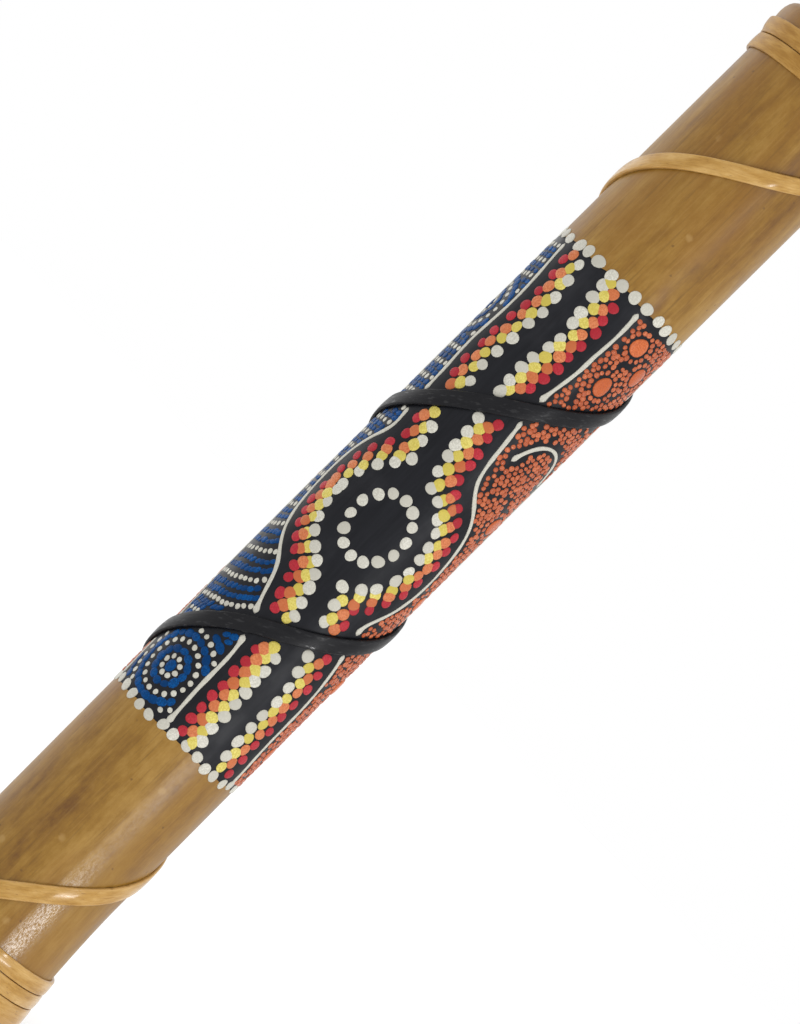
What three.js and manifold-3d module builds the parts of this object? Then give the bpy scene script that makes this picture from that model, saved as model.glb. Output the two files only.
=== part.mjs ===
// Rainstick: a bamboo culm closed by a wooden plug at each end, crossed inside by a spiral of bamboo
// pegs, with loose pebbles that fall past the pegs. One strip of rattan covers the line of pegs and is
// wound into a binding at each end, where a brass brad holds it.
// Millimetres. +Z runs along the stick, which stands on its lower end, and the origin is the middle of
// that end. Places around the stick are given in turns about +Z, counted from -Y towards +X.
import * as THREE from 'three';
import { mergeVertices } from 'three/addons/utils/BufferGeometryUtils.js';
import Module from 'manifold-3d';

const wasm = await Module();
wasm.setup();

// ---- driving dimensions ----
const LENGTH = 400;
const CULM_RADIUS = 25.6;
const BORE_RADIUS = 20.8;
const FOOT_FLARE = { rise: 3.0, length: 50, power: 1.7 };
const TIP_FLARE = { rise: 2.2, length: 13, power: 0.6 };
const FOOT_ROUND = { inward: 1.5, along: 1.5 };
const TIP_ROUND = { inward: 3.4, along: 4.5 };
const GAP = 0.3;

const PLUG_THICKNESS = 8;
const PLUG_CHAMFER = 0.6;

const STRIP_WIDTH = 5.4;
const STRIP_EDGE = 1.2;
const STRIP_CROWN = 1.8;
const STRIP_FIRST_TURN = -4.35;
const STRIP_LAST_TURN = 4.4;
const STRIP_FOOT_HEIGHT = 2.95;
const FOOT_BINDING_PITCH = 5.6;
const TIP_BINDING_PITCH = 6.1;
// how steeply the strip climbs, in mm per turn, at the turns where that changes
const STRIP_PITCHES = [
  [STRIP_FIRST_TURN, FOOT_BINDING_PITCH],
  [-1.165, FOOT_BINDING_PITCH],
  [-1.05, 130],
  [-1.0, 134],
  [-0.94, 119],
  [-0.875, 110],
  [-0.75, 112],
  [-0.5, 116],
  [-0.3, 103],
  [-0.2, 115],
  [-0.1, 120],
  [0, 89],
  [0.12, 96],
  [0.3, 98],
  [0.72, 95],
  [0.8, 84],
  [0.9, 116],
  [1, 113],
  [1.15, 97],
  [1.3, 100],
  [1.5, 103.5],
  [2.08, 101],
  [2.563, TIP_BINDING_PITCH],
  [STRIP_LAST_TURN, TIP_BINDING_PITCH],
];

const PEG_RADIUS = 1.1;
const PEG_TAPER = 0.8;
const PEG_LENGTH = 24;
const PEGS_PER_TURN = 12;
const FIRST_PEG = -12;
const LAST_PEG = 28;

const PEBBLE_COUNT = 12;
const PEBBLE_RING_RADIUS = 17.3;
const PEBBLE_HALF_SIZE = [2.5, 2.2, 1.9];
const PEBBLE_WEAR = { depth: 0.1, alongX: 2.3, alongY: 1.9 };
const PEBBLE_SPIN = 2.4;

const BRAD_SHANK = { radius: 0.55, length: 5.6, point: 1.6 };
const BRAD_HEAD = { radius: 1.3, crownRadius: 0.9, height: 0.5 };
const BRAD_INSET_TURNS = 0.03;

// ---- facets ----
const CULM_SIDES = 48;
const FLARE_STEPS = 5;
const STRIP_STEPS_PER_TURN = 32;
const ROD_SIDES = 8;
const BRAD_SIDES = 12;
const STRIP_SAGITTA = CULM_RADIUS * (1 - Math.cos(Math.PI / STRIP_STEPS_PER_TURN));
const WELD_DISTANCE = 1e-4;

// ---- materials ----
const bamboo = new THREE.MeshStandardMaterial({ color: 0x9b763e, roughness: 0.35, metalness: 0 });
const rattan = new THREE.MeshStandardMaterial({ color: 0xbe9655, roughness: 0.4, metalness: 0 });
const splitBamboo = new THREE.MeshStandardMaterial({ color: 0xc9a566, roughness: 0.6, metalness: 0 });
const plugWood = new THREE.MeshStandardMaterial({ color: 0xa67c4a, roughness: 0.6, metalness: 0 });
const brass = new THREE.MeshStandardMaterial({ color: 0xb08d46, roughness: 0.35, metalness: 1 });
const pebbleStone = new THREE.MeshStandardMaterial({ color: 0x8c8478, roughness: 0.7, metalness: 0 });

const rainstick = new THREE.Group();

function addPiece(name, geometry, material) {
  const mesh = new THREE.Mesh(geometry, material);
  mesh.name = name;
  rainstick.add(mesh);
  return mesh;
}

// ---- solids ----
function weld(geometry) {
  const bare = geometry.clone();
  bare.deleteAttribute('normal');
  bare.deleteAttribute('uv');
  return mergeVertices(bare, WELD_DISTANCE);
}

function toSolid(geometry) {
  const welded = weld(geometry);
  return new wasm.Manifold(new wasm.Mesh({
    numProp: 3,
    vertProperties: new Float32Array(welded.attributes.position.array),
    triVerts: new Uint32Array(welded.index.array),
  }));
}

function toGeometry(solid) {
  const mesh = solid.getMesh();
  const geometry = new THREE.BufferGeometry();
  geometry.setAttribute('position', new THREE.BufferAttribute(mesh.vertProperties, 3));
  geometry.setIndex(new THREE.BufferAttribute(mesh.triVerts, 1));
  geometry.computeVertexNormals();
  return geometry;
}

// A lathe turns about +Y from +Z; tipped over, it turns about +Z from -Y.
function turned(profile, sides) {
  return new THREE.LatheGeometry(profile, sides).rotateX(Math.PI / 2);
}

// ---- places on the stick ----
function onStick(turn, radius, height) {
  const angle = 2 * Math.PI * turn;
  return new THREE.Vector3(radius * Math.sin(angle), -radius * Math.cos(angle), height);
}

// Points +Y of a piece straight out of the stick at a turn and height.
function aimOutwards(turn, radius, height) {
  const angle = 2 * Math.PI * turn;
  const along = new THREE.Vector3(Math.cos(angle), Math.sin(angle), 0);
  const outward = onStick(turn, 1, 0);
  const down = new THREE.Vector3(0, 0, -1);
  return new THREE.Matrix4().makeBasis(along, outward, down).setPosition(onStick(turn, radius, height));
}

function flareAt(flare, distanceFromEnd) {
  const reach = Math.max(0, 1 - distanceFromEnd / flare.length);
  return flare.rise * reach ** flare.power;
}

function culmRadius(height) {
  return CULM_RADIUS + flareAt(FOOT_FLARE, height) + flareAt(TIP_FLARE, LENGTH - height);
}

function stripHeight(turn) {
  let height = STRIP_FOOT_HEIGHT;
  for (let i = 1; i < STRIP_PITCHES.length; i++) {
    const [fromTurn, fromPitch] = STRIP_PITCHES[i - 1];
    const [toTurn, toPitch] = STRIP_PITCHES[i];
    const covered = Math.max(0, Math.min(turn, toTurn) - fromTurn);
    const pitchThere = fromPitch + (toPitch - fromPitch) * covered / (toTurn - fromTurn);
    height += covered * (fromPitch + pitchThere) / 2;
  }
  return height;
}

// The inner face of the strip, whose flat facets would otherwise dip into the culm between their corners.
function stripSeat(height) {
  return culmRadius(height) + GAP + STRIP_SAGITTA;
}

function stripSlope(turn) {
  const step = 0.01;
  const from = Math.max(STRIP_FIRST_TURN, turn - step);
  const to = Math.min(STRIP_LAST_TURN, turn + step);
  const rise = stripHeight(to) - stripHeight(from);
  return Math.atan2(rise, 2 * Math.PI * CULM_RADIUS * (to - from));
}

// ---- rattan strip ----
function stripSection() {
  const half = STRIP_WIDTH / 2;
  const outline = new THREE.Shape();
  outline.moveTo(-half, 0);
  outline.lineTo(half, 0);
  outline.lineTo(half, STRIP_EDGE);
  outline.lineTo(0, STRIP_CROWN);
  outline.lineTo(-half, STRIP_EDGE);
  return outline;
}

// Extrudes the section straight, then wraps it around the culm along the strip's path.
function stripGeometry() {
  const turns = STRIP_LAST_TURN - STRIP_FIRST_TURN;
  const steps = Math.round(turns * STRIP_STEPS_PER_TURN);
  const straight = new THREE.ExtrudeGeometry(stripSection(), { steps, depth: 1, bevelEnabled: false });
  const wrapped = weld(straight);
  const points = wrapped.attributes.position;
  for (let i = 0; i < points.count; i++) {
    const turn = STRIP_FIRST_TURN + points.getZ(i) * turns;
    const slope = stripSlope(turn);
    const across = points.getX(i);
    const sideTurn = turn - across * Math.sin(slope) / (2 * Math.PI * CULM_RADIUS);
    const height = stripHeight(turn) + across * Math.cos(slope);
    const radius = stripSeat(height) + points.getY(i);
    points.setXYZ(i, ...onStick(sideTurn, radius, height).toArray());
  }
  wrapped.computeVertexNormals();
  return wrapped;
}

// ---- culm ----
function culmProfile() {
  const outer = [];
  for (let i = 0; i <= FLARE_STEPS; i++) {
    const height = FOOT_ROUND.along + (FOOT_FLARE.length - FOOT_ROUND.along) * i / FLARE_STEPS;
    outer.push(new THREE.Vector2(culmRadius(height), height));
  }
  for (let i = FLARE_STEPS; i >= 0; i--) {
    const height = LENGTH - TIP_ROUND.along - (TIP_FLARE.length - TIP_ROUND.along) * i / FLARE_STEPS;
    outer.push(new THREE.Vector2(culmRadius(height), height));
  }
  const foot = new THREE.Vector2(culmRadius(0) - FOOT_ROUND.inward, 0);
  const tip = new THREE.Vector2(culmRadius(LENGTH) - TIP_ROUND.inward, LENGTH);
  const boreFoot = new THREE.Vector2(BORE_RADIUS, 0);
  const boreTip = new THREE.Vector2(BORE_RADIUS, LENGTH);
  return [boreFoot, foot, ...outer, tip, boreTip, boreFoot];
}

function pegPlace(index) {
  const turn = index / PEGS_PER_TURN;
  const height = stripHeight(turn);
  const outerEnd = culmRadius(height) - GAP;
  return aimOutwards(turn, outerEnd - PEG_LENGTH / 2, height);
}

function pegHole(index) {
  const hole = new THREE.CylinderGeometry(PEG_RADIUS + GAP, PEG_RADIUS + GAP, PEG_LENGTH / 2, ROD_SIDES);
  hole.translate(0, PEG_LENGTH / 2, 0);
  return toSolid(hole.applyMatrix4(pegPlace(index)));
}

function bradPlace(turn) {
  const height = stripHeight(turn);
  return aimOutwards(turn, stripSeat(height) + STRIP_CROWN + GAP, height);
}

function bradHole(turn) {
  const radius = BRAD_SHANK.radius + GAP;
  const depth = BRAD_SHANK.length + GAP;
  const hole = new THREE.CylinderGeometry(radius, radius, 2 * depth, BRAD_SIDES);
  return toSolid(hole.applyMatrix4(bradPlace(turn)));
}

const bradTurns = [STRIP_FIRST_TURN + BRAD_INSET_TURNS, STRIP_LAST_TURN - BRAD_INSET_TURNS];
const bradHoles = bradTurns.map(bradHole);

let culm = toSolid(turned(culmProfile(), CULM_SIDES));
for (let index = FIRST_PEG; index <= LAST_PEG; index++) {
  culm = culm.subtract(pegHole(index));
}
let strip = toSolid(stripGeometry());
for (const hole of bradHoles) {
  culm = culm.subtract(hole);
  strip = strip.subtract(hole);
}
addPiece('culm', toGeometry(culm), bamboo);
addPiece('rattan_strip', toGeometry(strip), rattan);

// ---- brads ----
function bradGeometry() {
  const profile = [
    new THREE.Vector2(0, -BRAD_SHANK.length),
    new THREE.Vector2(BRAD_SHANK.radius, BRAD_SHANK.point - BRAD_SHANK.length),
    new THREE.Vector2(BRAD_SHANK.radius, 0),
    new THREE.Vector2(BRAD_HEAD.radius, 0),
    new THREE.Vector2(BRAD_HEAD.crownRadius, BRAD_HEAD.height),
    new THREE.Vector2(0, BRAD_HEAD.height),
  ];
  return new THREE.LatheGeometry(profile, BRAD_SIDES);
}

['lower_brad', 'upper_brad'].forEach((name, i) => {
  addPiece(name, bradGeometry(), brass).applyMatrix4(bradPlace(bradTurns[i]));
});

// ---- end plugs ----
function plugGeometry() {
  const radius = BORE_RADIUS - GAP;
  const profile = [
    new THREE.Vector2(0, 0),
    new THREE.Vector2(radius, 0),
    new THREE.Vector2(radius, PLUG_THICKNESS - PLUG_CHAMFER),
    new THREE.Vector2(radius - PLUG_CHAMFER, PLUG_THICKNESS),
    new THREE.Vector2(0, PLUG_THICKNESS),
  ];
  return turned(profile, CULM_SIDES);
}

addPiece('bottom_plug', plugGeometry(), plugWood);
const topPlug = addPiece('top_plug', plugGeometry(), plugWood);
topPlug.position.z = LENGTH;
topPlug.rotation.x = Math.PI;

// ---- pegs ----
const pegTip = PEG_TAPER * PEG_RADIUS;
const pegGeometry = new THREE.CylinderGeometry(PEG_RADIUS, pegTip, PEG_LENGTH, ROD_SIDES);
for (let index = FIRST_PEG; index <= LAST_PEG; index++) {
  const number = String(index - FIRST_PEG + 1).padStart(2, '0');
  addPiece(`peg_${number}`, pegGeometry, splitBamboo).applyMatrix4(pegPlace(index));
}

// ---- pebbles ----
// A worn pebble: a ball pushed in and out by a slow wave, then flattened.
function pebbleGeometry(number) {
  const pebble = weld(new THREE.IcosahedronGeometry(1, 1));
  const points = pebble.attributes.position;
  for (let i = 0; i < points.count; i++) {
    const point = new THREE.Vector3().fromBufferAttribute(points, i);
    const { depth, alongX, alongY } = PEBBLE_WEAR;
    const wave = Math.sin(alongX * point.x + number) * Math.cos(alongY * point.y - number);
    point.multiplyScalar(1 - depth * (1 + wave) / 2);
    points.setXYZ(i, ...point.toArray());
  }
  pebble.scale(...PEBBLE_HALF_SIZE);
  pebble.rotateZ(PEBBLE_SPIN * number);
  return pebble;
}

// The pebbles lie on the bottom plug, each under a lane that runs up between two rows of pegs.
for (let number = 1; number <= PEBBLE_COUNT; number++) {
  const geometry = pebbleGeometry(number);
  geometry.computeBoundingBox();
  const turn = (number - 0.5) / PEBBLE_COUNT;
  const height = PLUG_THICKNESS + GAP - geometry.boundingBox.min.z;
  const name = `pebble_${String(number).padStart(2, '0')}`;
  addPiece(name, geometry, pebbleStone).position.copy(onStick(turn, PEBBLE_RING_RADIUS, height));
}

export default rainstick;
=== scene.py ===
"""Looks of the bamboo rainstick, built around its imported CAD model.

Blender's metres, in the model's frame: +Z runs up the stick from the middle of its lower end. The
shapes are worked out in millimetres. A place on the stick is (turn, height), with turns counted about
+Z from -Y towards +X. The painted pattern is laid out flat, as (girth, height) in millimetres, and is
then wrapped onto the culm.
"""
import math
import random

import bpy
import numpy as np
from mathutils import Matrix, Vector


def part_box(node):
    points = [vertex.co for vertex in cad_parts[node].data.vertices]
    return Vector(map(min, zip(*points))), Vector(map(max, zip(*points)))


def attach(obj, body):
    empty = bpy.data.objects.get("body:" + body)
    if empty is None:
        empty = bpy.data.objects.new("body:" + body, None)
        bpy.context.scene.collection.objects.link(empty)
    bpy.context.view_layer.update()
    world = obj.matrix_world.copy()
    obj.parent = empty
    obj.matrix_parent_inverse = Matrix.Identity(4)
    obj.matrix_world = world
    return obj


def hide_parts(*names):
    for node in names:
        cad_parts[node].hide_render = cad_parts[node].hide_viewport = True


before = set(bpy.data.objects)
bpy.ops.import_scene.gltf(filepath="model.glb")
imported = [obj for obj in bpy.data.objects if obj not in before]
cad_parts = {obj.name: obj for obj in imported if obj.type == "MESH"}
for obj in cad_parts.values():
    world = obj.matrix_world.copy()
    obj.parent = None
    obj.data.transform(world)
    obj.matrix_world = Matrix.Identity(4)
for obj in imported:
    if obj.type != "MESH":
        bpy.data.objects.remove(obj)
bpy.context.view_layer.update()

MM = 0.001
TAU = 2 * math.pi
rng = random.Random(20)

# ---- sizes, mm: the CAD model's, but for the rims, the bow and the strip's section and first lap ----
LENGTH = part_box("culm")[1].z / MM
CULM_RADIUS = 25.6
BORE_RADIUS = 20.8
FOOT_FLARE = (3.0, 50, 1.7)
TIP_FLARE = (2.2, 13, 0.6)
FOOT_ROUND = (2.6, 3.0)
TIP_ROUND = (3.6, 7.0)
BOW = 0.6

STRIP_WIDTH = 5.4
STRIP_FOOT_HEIGHT = 2.95
FOOT_BINDING_PITCH = 5.6
TIP_BINDING_PITCH = 6.1
# how steeply the strip climbs, in mm per turn, at the turns where that changes
STRIP_PITCHES = (
    (-4.35, FOOT_BINDING_PITCH), (-1.165, FOOT_BINDING_PITCH),
    (-1.05, 130), (-1.0, 134), (-0.94, 119), (-0.875, 110), (-0.75, 112), (-0.5, 116),
    (-0.3, 103), (-0.2, 115), (-0.1, 120), (0, 89), (0.12, 96), (0.3, 98),
    (0.72, 95), (0.8, 84), (0.9, 116), (1, 113), (1.15, 97), (1.3, 100), (1.5, 103.5), (2.08, 101),
    (2.563, TIP_BINDING_PITCH), (4.4, TIP_BINDING_PITCH),
)
# at some turns, the strip's width, its thickness, and the height of its first lap's lower edge
STRIP_WIDTHS = (
    (-1.3, STRIP_WIDTH), (-1.0, 5.9), (-0.8, 5.9),
    (-0.4, STRIP_WIDTH), (2.3, STRIP_WIDTH), (2.6, 5.9),
)
STRIP_CROWNS = ((-1.3, 1.45), (-1.0, 1.7), (-0.75, 1.2), (-0.4, 1.75), (2.3, 1.75), (2.7, 1.4))
STRIP_LOWER_EDGES = ((-4.35, 0.25), (-3.75, 0.35), (-3.45, 4.9))
STRIP_FIRST_TURN = STRIP_PITCHES[0][0]
STRIP_LAST_TURN = STRIP_PITCHES[-1][0]
BRAD_INSET_TURNS = 0.03

PEG_RADIUS = 1.1
PEGS_PER_TURN = 12
FIRST_PEG = -12
LAST_PEG = 28

# ---- the painted band, mm ----
BAND_LOW = 101.6
BAND_HIGH = 297.6
COAT = 0.07
PAINT_RADIUS = CULM_RADIUS + COAT
GIRTH = TAU * PAINT_RADIUS


# ==== places on the stick ====

def bow(height):
    """How far the cane's slight natural bend carries its middle towards -X."""
    return -BOW * np.sin(math.pi * np.asarray(height, float) / LENGTH)


def wrap(turn, radius, height):
    """Points at a turn, radius and height, as an array of rows x, y, z."""
    angle = TAU * np.asarray(turn, float)
    x = radius * np.sin(angle) + bow(height)
    y = -radius * np.cos(angle)
    return np.stack(np.broadcast_arrays(x, y, height), axis=-1)


def flare(shape, from_end):
    rise, length, power = shape
    return rise * np.maximum(0, 1 - from_end / length) ** power


def culm_radius(turn, height):
    """The culm's outer radius, a little out of round as cane grows."""
    angle = TAU * np.asarray(turn, float)
    straight = CULM_RADIUS + flare(FOOT_FLARE, height) + flare(TIP_FLARE, LENGTH - height)
    oval = 0.10 * np.cos(2 * angle + 0.9)
    flats = 0.05 * np.cos(3 * angle + height / 60) + 0.035 * np.sin(5 * angle + height / 90)
    sway = 0.08 * np.sin(height / 47 + angle)
    return straight + oval + flats + sway


PATH_TURNS = np.linspace(STRIP_FIRST_TURN, STRIP_LAST_TURN, 7001)
PATH_PITCHES = np.interp(PATH_TURNS, *zip(*STRIP_PITCHES))
PATH_STEPS = (PATH_PITCHES[1:] + PATH_PITCHES[:-1]) / 2 * np.diff(PATH_TURNS)
PATH_HEIGHTS = STRIP_FOOT_HEIGHT + np.concatenate([[0], np.cumsum(PATH_STEPS)])


def strip_height(turn):
    return np.interp(turn, PATH_TURNS, PATH_HEIGHTS)


def strip_width(turn):
    return np.interp(turn, *zip(*STRIP_WIDTHS))


def strip_crown(turn):
    return np.interp(turn, *zip(*STRIP_CROWNS))


def strip_lower_reach(turn):
    """From the strip's middle to its lower edge. The first lap is broader: it ends flush with the foot."""
    to_foot = strip_height(turn) - np.interp(turn, *zip(*STRIP_LOWER_EDGES))
    first_lap = turn < STRIP_LOWER_EDGES[-1][0]
    return np.maximum(strip_width(turn) / 2, np.where(first_lap, to_foot, 0))


def strip_slope(turn):
    return np.arctan2(np.interp(turn, PATH_TURNS, PATH_PITCHES), TAU * CULM_RADIUS)


# ==== meshes ====

def show(thing):
    bpy.context.scene.collection.objects.link(thing)


def apply_modifiers(piece):
    evaluated = piece.evaluated_get(bpy.context.evaluated_depsgraph_get())
    piece.data = bpy.data.meshes.new_from_object(evaluated)
    piece.modifiers.clear()


def add_mesh(name, points, faces, *materials):
    mesh = bpy.data.meshes.new(name)
    mesh.from_pydata((np.asarray(points, float).reshape(-1, 3) * MM).tolist(), [], faces)
    for material in materials:
        mesh.materials.append(material)
    mesh.update()
    mesh.shade_smooth()
    piece = bpy.data.objects.new(name, mesh)
    show(piece)
    return piece


def settle(piece, body, slot, *nodes):
    """Puts a piece on its body, and hides the CAD nodes that it stands for. The slot argument is not used.
    """
    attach(piece, body)
    if nodes:
        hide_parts(*nodes)


def loop_faces(rows, columns, close_rows):
    """Quads of a grid whose columns close into rings, and whose rows close too if close_rows is set."""
    faces = []
    for row in range(rows if close_rows else rows - 1):
        low = row * columns
        high = (row + 1) % rows * columns
        for column in range(columns):
            right = (column + 1) % columns
            faces.append((low + column, low + right, high + right, high + column))
    return faces


def tube_faces(rows, columns):
    """The skin of a bead made of rings of points, with a cap on each end."""
    first = range(columns)
    last = range((rows - 1) * columns, rows * columns)
    return loop_faces(rows, columns, close_rows=False) + [tuple(reversed(first)), tuple(last)]


def lathe(name, profile, sides, place, material):
    """A closed turned piece: profile runs from axis to axis as (radius, along), and place moves it."""
    points = []
    rings = []
    for radius, along in profile:
        count = 1 if radius == 0 else sides
        rings.append(range(len(points), len(points) + count))
        for i in range(count):
            angle = TAU * i / sides
            points.append(place @ Vector((radius * math.cos(angle), radius * math.sin(angle), along)))
    faces = []
    for lower, upper in zip(rings, rings[1:]):
        for i in range(sides):
            j = (i + 1) % sides
            below = [lower[i % len(lower)], lower[j % len(lower)]]
            above = [upper[j % len(upper)], upper[i % len(upper)]]
            faces.append(tuple(dict.fromkeys(below + above)))
    return add_mesh(name, [tuple(p) for p in points], faces, material)


def outward(turn, radius, height):
    """A frame at a place on the stick whose +Z points straight out of it."""
    angle = TAU * turn
    along = Vector((math.cos(angle), math.sin(angle), 0))
    out = Vector((math.sin(angle), -math.cos(angle), 0))
    up = out.cross(along)
    axes = Matrix((along, up, out)).transposed().to_4x4()
    return Matrix.Translation(out * radius + Vector((bow(height), 0, height))) @ axes


def set_point_values(piece, name, kind, values):
    attribute = piece.data.attributes.new(name, kind, "POINT")
    key = "vector" if kind == "FLOAT_VECTOR" else "value"
    attribute.data.foreach_set(key, np.asarray(values, np.float32).ravel())


# ==== materials ====

class Shader:
    """A small helper that adds nodes to one material and links them by name."""

    def __init__(self, name):
        self.material = bpy.data.materials.new(name)
        self.material.use_nodes = True
        self.tree = self.material.node_tree
        self.surface = self.tree.nodes["Principled BSDF"]
        self.position = self.add("ShaderNodeTexCoord").outputs["Object"]

    def add(self, kind, **settings):
        node = self.tree.nodes.new(kind)
        for key, value in settings.items():
            setattr(node, key, value)
        return node

    def link(self, source, node, socket):
        self.tree.links.new(source, node.inputs[socket])

    def attribute(self, name, output="Fac"):
        return self.add("ShaderNodeAttribute", attribute_name=name).outputs[output]

    def stretched(self, scale, source=None):
        node = self.add("ShaderNodeMapping")
        node.inputs["Scale"].default_value = scale
        self.link(source or self.position, node, "Vector")
        return node.outputs["Vector"]

    def split(self, vector):
        node = self.add("ShaderNodeSeparateXYZ")
        self.link(vector, node, "Vector")
        return node.outputs["X"], node.outputs["Y"], node.outputs["Z"]

    def noise(self, scale, detail=3, roughness=0.5, vector=None, distortion=0):
        node = self.add("ShaderNodeTexNoise")
        node.inputs["Scale"].default_value = scale
        node.inputs["Detail"].default_value = detail
        node.inputs["Roughness"].default_value = roughness
        node.inputs["Distortion"].default_value = distortion
        self.link(vector or self.position, node, "Vector")
        return node.outputs["Fac"]

    def flat(self, turn, height):
        """The culm's skin rolled out flat, in metres, for spots that stay round on it."""
        node = self.add("ShaderNodeCombineXYZ")
        self.link(self.times(turn, TAU * CULM_RADIUS * MM), node, "X")
        self.link(height, node, "Y")
        return node.outputs["Vector"]

    def cells(self, scale, vector=None, dimensions="3D"):
        node = self.add("ShaderNodeTexVoronoi", voronoi_dimensions=dimensions)
        node.inputs["Scale"].default_value = scale
        self.link(vector or self.position, node, "Vector")
        return node.outputs["Distance"]

    def math(self, operation, a, b=None):
        node = self.add("ShaderNodeMath", operation=operation)
        for socket, value in enumerate((a, b)):
            if isinstance(value, (int, float)):
                node.inputs[socket].default_value = value
            elif value is not None:
                self.link(value, node, socket)
        return node.outputs["Value"]

    def times(self, value, *factors):
        for factor in factors:
            value = self.math("MULTIPLY", value, factor)
        return value

    def total(self, *parts):
        """The sum of values given as (value, share), each times its share."""
        value, *others = [self.times(value, share) for value, share in parts]
        for other in others:
            value = self.math("ADD", value, other)
        return value

    def remap(self, value, low, high, to_low=0.0, to_high=1.0):
        node = self.add("ShaderNodeMapRange", interpolation_type="SMOOTHSTEP")
        node.inputs["From Min"].default_value = low
        node.inputs["From Max"].default_value = high
        node.inputs["To Min"].default_value = to_low
        node.inputs["To Max"].default_value = to_high
        self.link(value, node, "Value")
        return node.outputs["Result"]

    def ramp(self, value, *stops):
        node = self.add("ShaderNodeValToRGB")
        elements = node.color_ramp.elements
        while len(elements) < len(stops):
            elements.new(0.5)
        for element, (place, colour) in zip(elements, stops):
            element.position = place
            element.color = (*colour, 1)
        self.link(value, node, "Fac")
        return node.outputs["Color"]

    def blend(self, fraction, a, b):
        node = self.add("ShaderNodeMix", data_type="RGBA")
        for socket, value in (("A", a), ("B", b)):
            colour_input = next(i for i in node.inputs if i.name == socket and i.type == "RGBA")
            if isinstance(value, tuple):
                colour_input.default_value = (*value, 1)
            else:
                self.tree.links.new(value, colour_input)
        if isinstance(fraction, (int, float)):
            node.inputs["Factor"].default_value = fraction
        else:
            self.link(fraction, node, "Factor")
        return next(o for o in node.outputs if o.type == "RGBA")

    def bump(self, height, distance_mm, strength=1.0, after=None):
        node = self.add("ShaderNodeBump")
        node.inputs["Strength"].default_value = strength
        node.inputs["Distance"].default_value = distance_mm * MM
        self.link(height, node, "Height")
        if after is not None:
            self.link(after, node, "Normal")
        return node.outputs["Normal"]

    def finish(self, colour, roughness, normal=None, **fixed):
        self.link(colour, self.surface, "Base Color")
        self.link(roughness, self.surface, "Roughness")
        if normal is not None:
            self.link(normal, self.surface, "Normal")
        for socket, value in fixed.items():
            self.surface.inputs[socket.replace("_", " ")].default_value = value
        return self.material


def srgb(*screen):
    """A colour as the shader wants it, from the 0 to 255 values that a screen shows."""
    return tuple(((c / 255 + 0.055) / 1.055) ** 2.4 if c > 10 else c / 255 / 12.92 for c in screen)


# the bare patch near the foot: its left edge in turns, and the height where it fades
PATCH_TURN = 0.045
PATCH_TOP = 104


def cane_colour(s, fibres, clouds, mottle):
    """Golden cane with darker and paler fibres and rusty clouds."""
    streaks = s.noise(150, 4, 0.6, s.stretched((1, 1, 0.07)))
    golden = s.ramp(
        s.total((streaks, 0.34), (clouds, 0.40), (mottle, 0.26)),
        (0.38, srgb(102, 65, 11)),
        (0.45, srgb(123, 85, 18)),
        (0.52, srgb(138, 100, 28)),
        (0.62, srgb(157, 120, 52)),
    )
    rusty = s.remap(s.noise(30, 3, 0.6, s.stretched((1, 1, 0.5))), 0.48, 0.66, 0, 0.5)
    golden = s.blend(rusty, golden, srgb(130, 86, 14))
    golden = s.blend(s.remap(fibres, 0.54, 0.74, 0, 0.4), golden, srgb(92, 61, 14))
    return s.blend(s.remap(fibres, 0.34, 0.46, 0.14, 0), golden, srgb(166, 132, 72))


def bare_patch(s, turn, z):
    """1 in the paler, glossier patch near the foot, and 0 elsewhere."""
    uneven = s.noise(60, 3, 0.6, s.stretched((1, 1, 0.4)))
    edge = s.math("ADD", turn, s.times(uneven, 0.012))
    inside = s.remap(edge, PATCH_TURN + 0.004, PATCH_TURN + 0.008)
    beside = s.remap(turn, 0.19, 0.24, 1, 0)
    below = s.remap(z, (PATCH_TOP - 4) * MM, (PATCH_TOP + 30) * MM, 1, 0)
    return s.times(inside, beside, below)


def blemished(s, golden, turn, z):
    """The cane's colour with pale spots and smaller dark specks, here and there."""
    here_and_there = s.remap(s.noise(40, 2), 0.5, 0.58)
    rolled_out = s.flat(turn, z)
    spots = s.math("ADD", s.cells(44, rolled_out, "2D"), s.times(s.noise(900, 2), 0.05))
    spots = s.times(s.remap(spots, 0.05, 0.1, 0.45, 0), here_and_there)
    golden = s.blend(spots, golden, srgb(172, 138, 80))
    specks = s.math("ADD", s.cells(80, rolled_out, "2D"), s.times(s.noise(1500, 2), 0.06))
    specks = s.times(s.remap(specks, 0.045, 0.075, 0.6, 0), here_and_there)
    return s.blend(specks, golden, srgb(88, 56, 18))


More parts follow.
